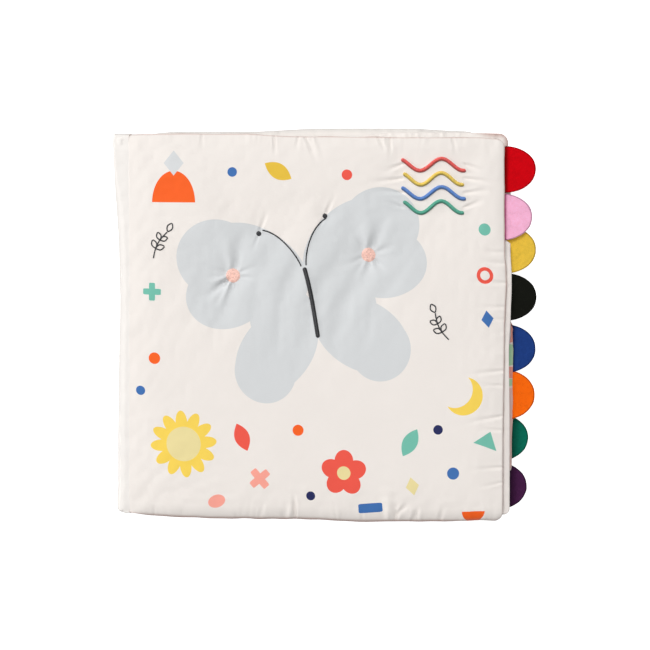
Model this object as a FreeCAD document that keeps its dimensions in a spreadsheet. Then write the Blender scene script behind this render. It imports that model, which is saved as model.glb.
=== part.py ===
import FreeCAD, Part
import math
import os

import Sketcher

# A padded cloth book that lies on its back cover.
#
# +X runs from the spine to the fore-edge, +Y along the height of the book, +Z up. The origin is the
# middle of the back cover's underside, half way from the hinge line to the fore-edge. Each sub-part is
# drawn with the hinge line as its X = 0, and its Placement carries it into that frame.

SIZES = [
    # alias, millimetres, what it is
    ("book_width", 296, "hinge line to fore-edge of a cover"),
    ("book_height", 300, "height of the covers, the leaves and the spine"),
    ("cover_thickness", 8, "padded thickness of a cover"),
    ("cover_corner", 10, "corner radius of a cover at the fore-edge"),
    ("hinge_gap", 0.5, "the front cover starts this far from the hinge line"),
    ("seam_land", 0.4, "flat band that the edge seam leaves on a padded edge"),
    ("spine_depth", 7.5, "how far the spine stands out behind the hinge line"),
    ("spine_corner", 5, "corner radius of the spine, seen from above"),
    ("spine_round", 4.5, "round of the spine's long outer edges"),
    ("sewn_gap", 0.2, "gap between the spine and the leaves' gutter"),
    ("layer_gap", 0.5, "air between two padded layers"),
    ("turn_gap", 0.5, "the back cover ends this far short of the spine's outer face"),
    ("leaf_thickness", 6, "padded thickness of a leaf"),
    ("leaf_corner", 9, "corner radius of a leaf at the fore-edge"),
    ("leaf_lift", 4.5, "the leaves are sewn in this much higher than the covers"),
    ("overhang_1", 1, "the first leaf, under the front cover, is this much wider than a cover"),
    ("overhang_2", 7, "second leaf"),
    ("overhang_3", 8.5, "third leaf"),
    ("overhang_4", 6, "fourth leaf, on the back cover"),
    ("gutter_width", 8, "width of the strip that joins the leaves"),
    ("gutter_inset", 3, "the strip ends this far inside the leaves' heads and tails"),
    ("tab_height", 37, "height of a felt half-moon"),
    ("tab_depth", 25, "depth of a felt half-moon"),
    ("tab_tail", 8, "seam allowance behind a half-moon"),
    ("tab_thickness", 2, "felt"),
    ("tab_spacing", 0.5, "gap between the two tabs of a leaf"),
    ("tab_clearance", 0.1, "play between a tab and its slot"),
    ("head_margin", 13.25, "first leaf's tabs start this far below its head"),
    ("tail_margin", 1.25, "fourth leaf's tabs end this far above its tail"),
    ("shift_2", 7.8, "second leaf's tabs lie this much above an even spacing"),
    ("show_red", 25, "how far the tab stands out of its leaf"),
    ("show_pink", 21.5, ""),
    ("show_yellow", 19.5, ""),
    ("show_black", 20, ""),
    ("show_blue", 19, ""),
    ("show_orange", 18.5, ""),
    ("show_green", 15, ""),
    ("show_purple", 14.5, ""),
]

# Each leaf, from the front cover down, and its upper and lower tab.
LEAF_TABS = [("red", "pink"), ("yellow", "black"), ("blue", "orange"), ("green", "purple")]

TO_FRAME_X = "-Sizes.book_width / 2"
STACK_FLOOR = "Sizes.cover_thickness + Sizes.layer_gap"
LEAF_STEP = "(Sizes.leaf_thickness + Sizes.layer_gap)"
FRONT_COVER_Z = f"{STACK_FLOOR} + {len(LEAF_TABS)} * {LEAF_STEP}"
SPINE_HEIGHT = f"{FRONT_COVER_Z} + Sizes.cover_thickness - Sizes.layer_gap - ({STACK_FLOOR})"
PAIR_HEIGHT = "(2 * Sizes.tab_height + Sizes.tab_spacing)"

# Shapes that lie nearer than this, in millimetres, count as touching when edges are picked.
TOUCH = 0.01


def make_sheet(doc):
    """The driving dimensions, one to a row: name, number with its alias, meaning."""
    sheet = doc.addObject("Spreadsheet::Sheet", "Sizes")
    for row, (alias, number, meaning) in enumerate(SIZES, start=1):
        sheet.set(f"A{row}", alias)
        sheet.set(f"B{row}", str(number))
        sheet.setAlias(f"B{row}", alias)
        sheet.set(f"C{row}", meaning)
    doc.recompute()
    return sheet


def leaf_floor(number):
    """Height of a leaf's underside, as an expression. Leaf 1 is the uppermost."""
    return f"{STACK_FLOOR} + {len(LEAF_TABS) - number} * {LEAF_STEP}"


def leaf_width(number):
    """Width of a leaf from the hinge line, as an expression."""
    return f"(Sizes.book_width + Sizes.overhang_{number})"


def pair_middle(number):
    """Height of the middle of a leaf's two tabs along the book, as an expression.

    The pairs step down evenly from the first leaf's head to the last leaf's tail.
    """
    head = f"(Sizes.leaf_lift + Sizes.book_height / 2 - Sizes.head_margin - {PAIR_HEIGHT} / 2)"
    tail = f"(Sizes.leaf_lift - Sizes.book_height / 2 + Sizes.tail_margin + {PAIR_HEIGHT} / 2)"
    share = f"{number - 1} / {len(LEAF_TABS) - 1}"
    shift = " + Sizes.shift_2" if number == 2 else ""
    return f"({head} + ({tail} - {head}) * {share}{shift})"


def origin_plane(body, role):
    """The body's own origin plane with that role, such as XY_Plane."""
    return next(f for f in body.Origin.OriginFeatures if f.Role == role)


def place(item, x=None, y=None, z=None):
    """Binds the corner of a sub-part, given from the hinge line, to its place in the row frame."""
    item.setExpression("Placement.Base.x", TO_FRAME_X if x is None else f"{x} + {TO_FRAME_X}")
    if y is not None:
        item.setExpression("Placement.Base.y", y)
    if z is not None:
        item.setExpression("Placement.Base.z", z)


def pad_sketch(body, sketch, length):
    """Pads a sketch upwards by the length that the expression gives."""
    pad = body.newObject("PartDesign::Pad", f"{body.Name}_pad")
    pad.Profile = sketch
    pad.setExpression("Length", length)
    sketch.Visibility = False
    body.Document.recompute()
    return pad


def round_edges(body, base, name, radius, wanted):
    """Fillets each edge of the base feature for which wanted(edge) holds."""
    edges = [f"Edge{i}" for i, edge in enumerate(base.Shape.Edges, start=1) if wanted(edge)]
    fillet = body.newObject("PartDesign::Fillet", f"{body.Name}_{name}")
    fillet.Base = (base, edges)
    fillet.setExpression("Radius", radius)
    body.Document.recompute()
    return fillet


def half_round_outline(sketch, left, right, height, corner, round_right=True):
    """A rectangle centred on the X axis whose two corners at one end are round.

    left, right, height and corner are (expression, value) pairs. The square end is the left one, or
    the right one if round_right is False. X runs from left to right, which may be negative.
    """
    side = 1 if round_right else -1
    square_x, round_x = (left[1], right[1]) if round_right else (right[1], left[1])
    half, radius = height[1] / 2, corner[1]
    centre_x = round_x - side * radius
    points = {
        "square_low": FreeCAD.Vector(square_x, -half, 0),
        "low": FreeCAD.Vector(centre_x, -half, 0),
        "side_low": FreeCAD.Vector(round_x, -half + radius, 0),
        "side_high": FreeCAD.Vector(round_x, half - radius, 0),
        "high": FreeCAD.Vector(centre_x, half, 0),
        "square_high": FreeCAD.Vector(square_x, half, 0),
    }

    def corner_arc(sign):
        diagonal = FreeCAD.Vector(side, sign, 0).normalize() * radius
        centre = FreeCAD.Vector(centre_x, sign * (half - radius), 0)
        ends = ("low", "side_low") if sign < 0 else ("side_high", "high")
        return Part.Arc(points[ends[0]], centre + diagonal, points[ends[1]])

    tail = sketch.addGeometry(Part.LineSegment(points["square_low"], points["low"]), False)
    low_arc = sketch.addGeometry(corner_arc(-1), False)
    edge = sketch.addGeometry(Part.LineSegment(points["side_low"], points["side_high"]), False)
    high_arc = sketch.addGeometry(corner_arc(1), False)
    head = sketch.addGeometry(Part.LineSegment(points["high"], points["square_high"]), False)
    gutter = sketch.addGeometry(Part.LineSegment(points["square_high"], points["square_low"]), False)

    # An arc's first and last points follow its turning sense, so they are read back from the sketch.
    def nearer(arc, point):
        first = sketch.getPoint(arc, 1)
        return 1 if (first - point).Length < TOUCH else 2

    for line, line_end, arc, point in (
        (tail, 2, low_arc, "low"),
        (edge, 1, low_arc, "side_low"),
        (edge, 2, high_arc, "side_high"),
        (head, 1, high_arc, "high"),
    ):
        arc_end = nearer(arc, points[point])
        sketch.addConstraint(Sketcher.Constraint("Tangent", line, line_end, arc, arc_end))
    sketch.addConstraint(Sketcher.Constraint("Coincident", head, 2, gutter, 1))
    sketch.addConstraint(Sketcher.Constraint("Coincident", gutter, 2, tail, 1))
    sketch.addConstraint(Sketcher.Constraint("Horizontal", tail))
    sketch.addConstraint(Sketcher.Constraint("Horizontal", head))
    sketch.addConstraint(Sketcher.Constraint("Vertical", edge))
    sketch.addConstraint(Sketcher.Constraint("Symmetric", gutter, 1, gutter, 2, -1))
    sketch.addConstraint(Sketcher.Constraint("Equal", low_arc, high_arc))

    def bind(name, constraint, expression):
        index = sketch.addConstraint(constraint)
        sketch.renameConstraint(index, name)
        sketch.setExpression(f"Constraints.{name}", expression)

    bind("corner", Sketcher.Constraint("Radius", low_arc, corner[1]), corner[0])
    bind("height", Sketcher.Constraint("DistanceY", gutter, 2, gutter, 1, height[1]), height[0])
    near, far = (gutter, edge) if round_right else (edge, gutter)
    bind("left", Sketcher.Constraint("DistanceX", -1, 1, near, 1, left[1]), left[0])
    bind("right", Sketcher.Constraint("DistanceX", -1, 1, far, 1, right[1]), right[0])


def value(sheet, expression):
    """The number that an expression over the sheet's aliases gives."""
    return float(sheet.evalExpression(expression))


def padded_panel(doc, label, left, right, height, corner, thickness, y, z):
    """A padded square of cloth: a slab with two round corners and a half-round seam edge.

    Every argument from left on is an expression. The edge on the hinge side stays square, because
    there the cloth runs on into the spine.
    """
    sheet = doc.Sizes
    body = doc.addObject("PartDesign::Body", label)
    sketch = body.newObject("Sketcher::SketchObject", f"{label}_outline")
    sketch.AttachmentSupport = [(origin_plane(body, "XY_Plane"), "")]
    sketch.MapMode = "FlatFace"
    half_round_outline(sketch, *((e, value(sheet, e)) for e in (left, right, height, corner)))
    slab = pad_sketch(body, sketch, thickness)
    square_end = value(sheet, left)

    def on_free_seam(edge):
        box = edge.BoundBox
        return box.ZLength < TOUCH and box.XMax > square_end + TOUCH

    round_edges(body, slab, "seam", f"({thickness} - Sizes.seam_land) / 2", on_free_seam)
    place(body, y=y, z=z)
    return body


def make_front_cover(doc):
    """The padded front cover, which opens about the hinge line along its outer face."""
    return padded_panel(
        doc,
        "front_cover",
        "Sizes.hinge_gap",
        "Sizes.book_width",
        "Sizes.book_height",
        "Sizes.cover_corner",
        "Sizes.cover_thickness",
        "0",
        FRONT_COVER_Z,
    )


def make_back_cover(doc):
    """The padded back cover, which runs on under the spine and ends just short of its outer face."""
    cover = padded_panel(
        doc,
        "back_cover",
        "Sizes.turn_gap - Sizes.spine_depth",
        "Sizes.book_width",
        "Sizes.book_height",
        "Sizes.cover_corner",
        "Sizes.cover_thickness",
        "0",
        "0",
    )
    seam = cover.Tip
    hinge_side = value(doc.Sizes, "Sizes.turn_gap - Sizes.spine_depth")

    def on_hinge_side(edge):
        box = edge.BoundBox
        long_edge = box.YLength > doc.Sizes.book_height / 2
        return long_edge and box.XMax < hinge_side + TOUCH

    round_edges(cover, seam, "turn", "(Sizes.cover_thickness - Sizes.seam_land) / 2", on_hinge_side)
    return cover


def make_spine(doc):
    """The padded spine strip, from the back cover's inner face up to the front cover's outer face."""
    sheet = doc.Sizes
    body = doc.addObject("PartDesign::Body", "spine")
    sketch = body.newObject("Sketcher::SketchObject", "spine_outline")
    sketch.AttachmentSupport = [(origin_plane(body, "XY_Plane"), "")]
    sketch.MapMode = "FlatFace"
    sizes = ("-Sizes.spine_depth", "-Sizes.sewn_gap / 2", "Sizes.book_height", "Sizes.spine_corner")
    half_round_outline(sketch, *((e, value(sheet, e)) for e in sizes), round_right=False)
    strip = pad_sketch(body, sketch, SPINE_HEIGHT)
    inner_face = value(sheet, "-Sizes.sewn_gap / 2")

    def on_outer_edge(edge):
        box = edge.BoundBox
        return box.ZLength < TOUCH and box.XMin < inner_face - TOUCH

    round_edges(body, strip, "roll", "Sizes.spine_round", on_outer_edge)
    place(body, z=STACK_FLOOR)
    return body


def make_leaf(doc, number):
    """One padded leaf, numbered from the front cover down."""
    return padded_panel(
        doc,
        f"leaf_{number}",
        "Sizes.sewn_gap / 2",
        leaf_width(number),
        "Sizes.book_height",
        "Sizes.leaf_corner",
        "Sizes.leaf_thickness",
        "Sizes.leaf_lift",
        leaf_floor(number),
    )


def tab_middle(number):
    """Height of the felt's underside in the middle of a leaf, as an expression."""
    return f"{leaf_floor(number)} + (Sizes.leaf_thickness - Sizes.tab_thickness) / 2"


def make_slot(doc, number):
    """The pocket in a leaf's fore-edge seam that takes the tails of its two tabs."""
    upper, lower = LEAF_TABS[number - 1]
    deepest = f"(Sizes.tab_depth + Sizes.tab_tail - min(Sizes.show_{upper}; Sizes.show_{lower}))"
    height = f"({PAIR_HEIGHT} + 2 * Sizes.tab_clearance)"
    slot = doc.addObject("Part::Box", f"slot_{number}")
    slot.setExpression("Length", f"2 * ({deepest} + Sizes.tab_clearance)")
    slot.setExpression("Width", height)
    slot.setExpression("Height", "Sizes.tab_thickness + 2 * Sizes.tab_clearance")
    place(
        slot,
        f"{leaf_width(number)} - {deepest} - Sizes.tab_clearance",
        f"{pair_middle(number)} - {height} / 2",
        f"{tab_middle(number)} - Sizes.tab_clearance",
    )
    return slot


def make_pages(doc):
    """All the leaves as one solid: joined along the gutter, parted elsewhere, with the tabs' slots."""
    numbers = range(1, len(LEAF_TABS) + 1)
    leaves = [make_leaf(doc, number) for number in numbers]
    gutter = doc.addObject("Part::Box", "gutter")
    gutter.setExpression("Length", "Sizes.gutter_width")
    gutter.setExpression("Width", "Sizes.book_height - 2 * Sizes.gutter_inset")
    gutter.setExpression("Height", f"{len(LEAF_TABS)} * {LEAF_STEP} - Sizes.layer_gap")
    tail = "Sizes.leaf_lift - Sizes.book_height / 2"
    place(gutter, "Sizes.sewn_gap / 2", f"{tail} + Sizes.gutter_inset", STACK_FLOOR)
    joined = doc.addObject("Part::MultiFuse", "joined_leaves")
    joined.Shapes = [gutter, *leaves]
    slots = doc.addObject("Part::MultiFuse", "slots")
    slots.Shapes = [make_slot(doc, number) for number in numbers]
    pages = doc.addObject("Part::Cut", "pages")
    pages.Base = joined
    pages.Tool = slots
    return pages


def make_tab(doc, colour, number, above):
    """A felt half-moon: half an ellipse in front of a straight tail that is sewn into the leaf.

    above is 1 for the upper tab of a leaf and -1 for the lower one.
    """
    sheet = doc.Sizes
    depth, height, tail = sheet.tab_depth, sheet.tab_height, sheet.tab_tail
    body = doc.addObject("PartDesign::Body", f"tab_{colour}")
    sketch = body.newObject("Sketcher::SketchObject", f"tab_{colour}_outline")
    sketch.AttachmentSupport = [(origin_plane(body, "XY_Plane"), "")]
    sketch.MapMode = "FlatFace"
    middle = FreeCAD.Vector(0, 0, 0)
    ellipse = Part.Ellipse(FreeCAD.Vector(depth, 0, 0), FreeCAD.Vector(0, height / 2, 0), middle)
    moon = sketch.addGeometry(Part.ArcOfEllipse(ellipse, -math.pi / 2, math.pi / 2), False)
    corners = [
        FreeCAD.Vector(0, height / 2, 0),
        FreeCAD.Vector(-tail, height / 2, 0),
        FreeCAD.Vector(-tail, -height / 2, 0),
        FreeCAD.Vector(0, -height / 2, 0),
    ]
    lines = [
        sketch.addGeometry(Part.LineSegment(first, last), False)
        for first, last in zip(corners, corners[1:])
    ]
    sketch.exposeInternalGeometry(moon)
    major, minor = moon + 4, moon + 5
    upper, back, lower = lines
    for first, first_end, last, last_end in (
        (moon, 2, upper, 1),
        (upper, 2, back, 1),
        (back, 2, lower, 1),
        (lower, 2, moon, 1),
        (moon, 3, -1, 1),
    ):
        sketch.addConstraint(Sketcher.Constraint("Coincident", first, first_end, last, last_end))
    sketch.addConstraint(Sketcher.Constraint("Horizontal", major))
    sketch.addConstraint(Sketcher.Constraint("PointOnObject", moon, 1, -2))
    sketch.addConstraint(Sketcher.Constraint("PointOnObject", moon, 2, -2))
    sketch.addConstraint(Sketcher.Constraint("Horizontal", upper))
    sketch.addConstraint(Sketcher.Constraint("Vertical", back))
    sketch.addConstraint(Sketcher.Constraint("Horizontal", lower))
    for name, line, kind, number_mm, expression in (
        ("depth", major, "Distance", 2 * depth, "2 * Sizes.tab_depth"),
        ("height", minor, "Distance", height, "Sizes.tab_height"),
        ("tail", upper, "Distance", tail, "Sizes.tab_tail"),
    ):
        index = sketch.addConstraint(Sketcher.Constraint(kind, line, number_mm))
        sketch.renameConstraint(index, name)
        sketch.setExpression(f"Constraints.{name}", expression)
    pad_sketch(body, sketch, "Sizes.tab_thickness")
    place(
        body,
        f"{leaf_width(number)} + Sizes.show_{colour} - Sizes.tab_depth",
        f"{pair_middle(number)} + {above} * (Sizes.tab_height + Sizes.tab_spacing) / 2",
        tab_middle(number),
    )
    return body


def make_tabs(doc):
    """Two tabs to a leaf, the first colour above the second."""
    return [
        make_tab(doc, colour, number, above)
        for number, pair in enumerate(LEAF_TABS, start=1)
        for colour, above in zip(pair, (1, -1))
    ]


def check(doc, parts):
    """Raises if any object failed to recompute, or a sub-part isn't one sound solid."""
    for item in doc.Objects:
        if "Invalid" in item.State or "Error" in item.State:
            raise RuntimeError(f"{item.Label} did not recompute: {item.State}")
    for part in parts:
        shape = part.Shape
        if shape.isNull() or not shape.isValid() or len(shape.Solids) != 1:
            raise RuntimeError(f"{part.Label} is not one valid solid")


def main():
    doc = FreeCAD.newDocument("cloth_book")
    make_sheet(doc)
    parts = [make_back_cover(doc), make_pages(doc), make_spine(doc), *make_tabs(doc)]
    parts.append(make_front_cover(doc))
    doc.recompute()
    check(doc, parts)
    os.makedirs("parts", exist_ok=True)
    for part in parts:
        part.Shape.exportStep(f"parts/{part.Label}.step")
        box = part.Shape.BoundBox
        print(f"{part.Label}: {part.Shape.Volume:.1f} mm3, {box}")


main()
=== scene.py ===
"""Looks of a soft padded cloth book for a baby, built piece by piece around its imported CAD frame."""
import math

import bmesh
import bpy
import numpy as np
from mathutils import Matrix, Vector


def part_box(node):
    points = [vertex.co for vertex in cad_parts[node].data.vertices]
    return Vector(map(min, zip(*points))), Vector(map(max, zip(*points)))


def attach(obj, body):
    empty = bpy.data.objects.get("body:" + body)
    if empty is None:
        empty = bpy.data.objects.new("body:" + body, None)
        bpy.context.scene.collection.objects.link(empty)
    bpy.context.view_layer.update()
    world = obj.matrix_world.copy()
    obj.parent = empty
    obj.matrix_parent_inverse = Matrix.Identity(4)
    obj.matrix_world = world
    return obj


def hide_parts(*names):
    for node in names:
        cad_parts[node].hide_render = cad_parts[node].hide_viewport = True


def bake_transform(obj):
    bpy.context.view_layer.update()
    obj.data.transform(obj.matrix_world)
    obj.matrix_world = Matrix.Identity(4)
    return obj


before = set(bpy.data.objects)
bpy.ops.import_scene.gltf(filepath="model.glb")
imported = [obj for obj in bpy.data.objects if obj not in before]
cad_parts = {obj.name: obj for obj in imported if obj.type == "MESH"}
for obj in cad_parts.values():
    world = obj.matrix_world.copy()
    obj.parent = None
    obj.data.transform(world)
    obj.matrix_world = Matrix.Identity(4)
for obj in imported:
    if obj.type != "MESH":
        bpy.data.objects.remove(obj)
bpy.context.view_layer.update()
MM = 0.001

# ---------------------------------------------------------------------------------------------------------
# The table and the studio: the book lies closed on a glowing white table under an even white sky. One wide
# softbox hangs over it, one stands past its head and a weak low one at its left; the camera looks down.
COVER_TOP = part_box("front_cover")[1].z
CAMERA_HEIGHT = 1.2
VIEW_WIDTH = 0.5102
SENSOR_WIDTH = 36
TABLE_HALF, TABLE_Z = 6, -2e-4

camera_data = bpy.data.cameras.new("camera")
camera_data.sensor_width = SENSOR_WIDTH
camera_data.lens = SENSOR_WIDTH / 2 / (VIEW_WIDTH / 2 / CAMERA_HEIGHT)
camera = bpy.data.objects.new("camera", camera_data)
camera.location = (0.0070, 0.0004, COVER_TOP + CAMERA_HEIGHT)
bpy.context.scene.collection.objects.link(camera)
bpy.context.scene.camera = camera


def softbox(name, place, width, watts):
    """A square area light of that width at place, turned to face the middle of the book."""
    data = bpy.data.lights.new(name, "AREA")
    data.size, data.energy = width, watts
    lamp = bpy.data.objects.new(name, data)
    lamp.location = place
    lamp.rotation_euler = (-lamp.location).to_track_quat("-Z", "Y").to_euler()
    bpy.context.scene.collection.objects.link(lamp)


softbox("softbox_overhead", (0.1, 0.1, 2.6), 1.6, 20)
softbox("softbox_head", (-1.9, 5.0, 7.2), 2.8, 383)
softbox("softbox_low_left", (-2.4, 0.4, 0.6), 0.9, 24)

sky = bpy.data.worlds.new("white_sky")
sky.use_nodes = True
sky.node_tree.nodes["Background"].inputs["Color"].default_value = (0.99, 0.995, 1, 1)
sky.node_tree.nodes["Background"].inputs["Strength"].default_value = 0.256
bpy.context.scene.world = sky
bpy.context.scene.view_settings.view_transform = "Standard"


def new_material(name):
    """A material with only a Principled shader; gives (material, its node tree, the shader)."""
    material = bpy.data.materials.new(name)
    material.use_nodes = True
    return material, material.node_tree, material.node_tree.nodes["Principled BSDF"]


def node(tree, kind, settings=None, **inputs):
    """Adds one shader node. Inputs are values, or other nodes' output sockets, by socket name or number."""
    made = tree.nodes.new("ShaderNode" + kind)
    for key, value in (settings or {}).items():
        setattr(made, key, value)
    for key, value in inputs.items():
        socket = made.inputs[int(key[1:])] if key[0] == "_" else made.inputs[key.replace("_", " ")]
        if isinstance(value, bpy.types.NodeSocket):
            tree.links.new(value, socket)
        else:
            socket.default_value = value
    return made


def sum_of(tree, operation, *values):
    """One Math node on values or sockets; gives its result."""
    made = node(tree, "Math", {"operation": operation}, **{f"_{i}": v for i, v in enumerate(values)})
    return made.outputs[0]


table_top, tree, shader = new_material("backlit_table")
shader.inputs["Base Color"].default_value = (0.75, 0.75, 0.75, 1)
shader.inputs["Roughness"].default_value = 0.8
shader.inputs["Emission Color"].default_value = (1, 1, 1, 1)
grain = node(tree, "TexNoise", Vector=node(tree, "TexCoord").outputs["Object"], Scale=400)
tree.links.new(node(tree, "Bump", Height=grain.outputs["Fac"], Strength=0.05, Distance=0.0002).outputs[0],
               shader.inputs["Normal"])
seen = node(tree, "LightPath").outputs["Is Camera Ray"]
tree.links.new(sum_of(tree, "MULTIPLY", seen, 0.86), shader.inputs["Emission Strength"])
floor_mesh = bpy.data.meshes.new("table")
floor_mesh.from_pydata([(x * TABLE_HALF, y * TABLE_HALF, TABLE_Z) for x, y in (
    (-1, -1), (1, -1), (1, 1), (-1, 1))], [], [(0, 1, 2, 3)])
floor_mesh.materials.append(table_top)
floor = bpy.data.objects.new("table", floor_mesh)
bpy.context.scene.collection.objects.link(floor)

# ---------------------------------------------------------------------------------------------------------
# The back cover: two squares of fine cream cotton sewn right sides together round a sheet of wadding and
# turned, so its edge is a soft roll with the seam half way up. Its underside is pressed flat by the table.


def dye(red, green, blue):
    """A dye's linear colour from its 8-bit one."""
    share = np.array([red, green, blue]) / 255
    return (*np.where(share < 0.04045, share / 12.92, ((share + 0.055) / 1.055) ** 2.4).tolist(), 1)


def group(name, inputs, outputs):
    """A shader node group with named inputs and outputs; gives (group, its inputs' sockets, its output)."""
    tree = bpy.data.node_groups.new(name, "ShaderNodeTree")
    for way, sockets in (("INPUT", inputs), ("OUTPUT", outputs)):
        for label, kind in sockets:
            tree.interface.new_socket(label, in_out=way, socket_type="NodeSocket" + kind)
    return tree, tree.nodes.new("NodeGroupInput").outputs, tree.nodes.new("NodeGroupOutput").inputs


def use(tree, made, **inputs):
    """Places a node group in a tree with its own values."""
    return node(tree, "Group", {"node_tree": made}, **inputs).outputs


def painted(tree, name):
    """The value that a mesh carries under that name at each of its points."""
    return node(tree, "Attribute", {"attribute_name": name}).outputs["Fac"]


def surface(tree, shader, colour, tone, height, strength, depth, **values):
    """Gives a shader a colour scaled by tone, a bump of that strength and depth in m, and plain values."""
    toned = node(tree, "VectorMath", {"operation": "SCALE"}, _0=colour, Scale=tone)
    tree.links.new(toned.outputs[0], shader.inputs["Base Color"])
    bump = node(tree, "Bump", Height=height, Strength=strength, Distance=depth)
    tree.links.new(bump.outputs[0], shader.inputs["Normal"])
    for label, value in values.items():
        shader.inputs[label.replace("_", " ")].default_value = value


# Plain weave: each thread is a row of humps, and neighbouring rows are half a step apart, so the height is
# sin(across) * sin(along); slubs are longer and random. Tone is the yarn's slight unevenness of colour.
plain_weave, given, result = group("plain_weave", [("Place", "Vector"), ("Thread", "Float")],
                                   [("Height", "Float"), ("Tone", "Float")])
parts = node(plain_weave, "SeparateXYZ", Vector=given["Place"]).outputs
wave_number = sum_of(plain_weave, "DIVIDE", math.pi, given["Thread"])
warp = sum_of(plain_weave, "SINE", sum_of(plain_weave, "MULTIPLY", parts[0], wave_number))
weft = sum_of(plain_weave, "SINE", sum_of(plain_weave, "MULTIPLY", parts[1], wave_number))
stretch = node(plain_weave, "Mapping", Vector=given["Place"], Scale=(1, 9, 1))
slub = node(plain_weave, "TexNoise", Vector=stretch.outputs[0], Scale=260, Detail=3)
cloud = node(plain_weave, "TexNoise", Vector=given["Place"], Scale=22, Detail=2)
plain_weave.links.new(sum_of(plain_weave, "ADD", sum_of(plain_weave, "MULTIPLY", warp, weft),
                             slub.outputs["Fac"]), result["Height"])
plain_weave.links.new(
    sum_of(plain_weave, "MULTIPLY_ADD", cloud.outputs["Fac"], 0.05,
           sum_of(plain_weave, "MULTIPLY_ADD", slub.outputs["Fac"], 0.03, 0.955)), result["Tone"])

CREAM, PALE_CREAM = dye(241, 234, 228), dye(241, 236, 231)
# The colours of the painted shade in the cloth's seams: a dusty pink and a grey.
PAINTED_SHADE_PINK, PAINTED_SHADE_GREY = dye(192, 161, 152), dye(178, 176, 173)


def cotton(name, prints=(), seam=0.5, shade=PAINTED_SHADE_PINK, cloth=CREAM):
    """Cream cotton: any prints on it, the weave's tone, and painted shade of the shade colour in the seams.
    """
    material, tree, shader = new_material(name)
    place = node(tree, "UVMap", {"uv_map": "flat_cloth"}).outputs[0]
    weave = use(tree, plain_weave, Place=place, Thread=0.00042)
    ink = printed(tree, place, cloth, prints) if prints else cloth
    # Painted shade: the mesh's seam values, scaled by the seam share, mix the cloth towards the shade colour.
    in_seam = sum_of(tree, "MULTIPLY", painted(tree, "seam"), seam)
    shaded = node(tree, "Mix", {"data_type": "RGBA"}, _0=in_seam, _6=ink, _7=shade).outputs[2]
    surface(tree, shader, shaded, weave["Tone"], weave["Height"], 0.35, 0.00004, Roughness=0.62,
            Specular_IOR_Level=0.22, Sheen_Weight=0.12, Sheen_Roughness=0.45)
    return material


def box_of(name):
    """The low and the high corner of a node's box, in mm."""
    return [np.array(corner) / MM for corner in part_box(name)]


def grid_lines(low, high, first, last, step):
    """An odd number of grid lines from low to high: over each rounded edge of width w they are at
    w(1 - cos a) for even angles a, so that they are even on the roll, and between the rolls a step apart."""
    angle = np.linspace(0, math.pi / 2, 7)
    start, end = low + first * (1 - np.cos(angle)), high - last * (1 - np.cos(angle[::-1]))
    count = 2 * round((end[0] - start[-1]) / step / 2) + 1
    return np.r_[start, np.linspace(start[-1], end[0], count)[1:-1], end]


def square_plan(xs, ys, corner):
    """A square's plan as a grid: (x, y, distances to its left, right, lower and upper edge). In each corner
    square the grid is squeezed into a quarter disc by a' = a sqrt(1 - b^2 / 2), b' = b sqrt(1 - a^2 / 2)."""
    x, y = np.meshgrid(xs, ys)
    far = [x - xs[0], xs[-1] - x, y - ys[0], ys[-1] - y]
    a = [np.clip(1 - d / corner, 0, 1) for d in far]
    for i, j in ((0, 2), (0, 3), (1, 2), (1, 3)):
        x = x + (-1 if i == 0 else 1) * corner * a[i] * (np.sqrt(1 - a[j] ** 2 / 2) - 1)
        y = y + (-1 if j == 2 else 1) * corner * a[j] * (np.sqrt(1 - a[i] ** 2 / 2) - 1)
    return x, y, far


def rolled(distance, width):
    """Height share over a rounded edge of that width: a quarter of an ellipse, sqrt(1 - (1 - d / w)^2)."""
    return np.sqrt(1 - (1 - np.clip(distance / width, 0, 1)) ** 2)


def rolled_edges(far, widths):
    """Height share of a pad over its four rolled edges of those widths: the product of the four."""
    rise = rolled(far[0], widths[0])
    for distance, width in zip(far[1:], widths[1:]):
        rise = rise * rolled(distance, width)
    return rise


def between(value, start, end):
    """A smooth step from 0 at start to 1 at end."""
    share = np.clip((value - start) / (end - start), 0, 1)
    return share * share * (3 - 2 * share)


def ripple(x, y, shortest, longest, seed):
    """Smooth unevenness of about -1 to 1: the sum of 20 waves with random lengths, headings and phases."""
    draw = np.random.default_rng(seed)
    rate = 2 * np.pi / draw.uniform(shortest, longest, 20)
    heading, phase = draw.uniform(0, 2 * np.pi, (2, 20))
    x, y = np.broadcast_arrays(x, y)
    along = x[..., None] * np.cos(heading) + y[..., None] * np.sin(heading)
    return np.sin(along * rate + phase).sum(-1) / 5


def gathers(x, y, far, amounts, seed, shortest=5, longest=15, reach=6):
    """Fine folds that run in from the sewn edges: |waves| along each edge, of that edge's amount, which fade
    as exp(-distance / reach), and are stronger in some places than in others."""
    total = np.zeros_like(x)
    for side, amount in enumerate(amounts):
        along = y if side < 2 else x
        drift = along + 0.3 * far[side] * np.sin(along / 19 + side)
        strong = np.clip(0.6 + 0.55 * ripple(along, 0, 25, 80, seed + 10 + side), 0, 1.5)
        total += amount * strong * np.abs(ripple(drift, 0, shortest, longest, seed + side)) * np.exp(
            -far[side] / reach)
    return total


def creases(x, y, marks):
    """Height of folds in the cloth. Each mark is (x, y, heading in degrees, length, width, depth): a groove
    from its point along its heading, with a ridge each side, that widens and fades as (1 - share) ^ 1.5."""
    x0, y0, heading, length, width, depth = np.array(marks, float).T
    heading = np.radians(heading)
    along = (x[..., None] - x0) * np.cos(heading) + (y[..., None] - y0) * np.sin(heading)
    across = (y[..., None] - y0) * np.cos(heading) - (x[..., None] - x0) * np.sin(heading)
    share = np.clip(along / length, 0, 1)
    fade = (1 - share) ** 1.5 * np.exp(-np.minimum(along / width, 0) ** 2)
    wide = (across / (width * (0.6 + 0.9 * share))) ** 2
    return -(depth * fade * (1 - wide) * np.exp(-0.8 * wide)).sum(-1)


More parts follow.
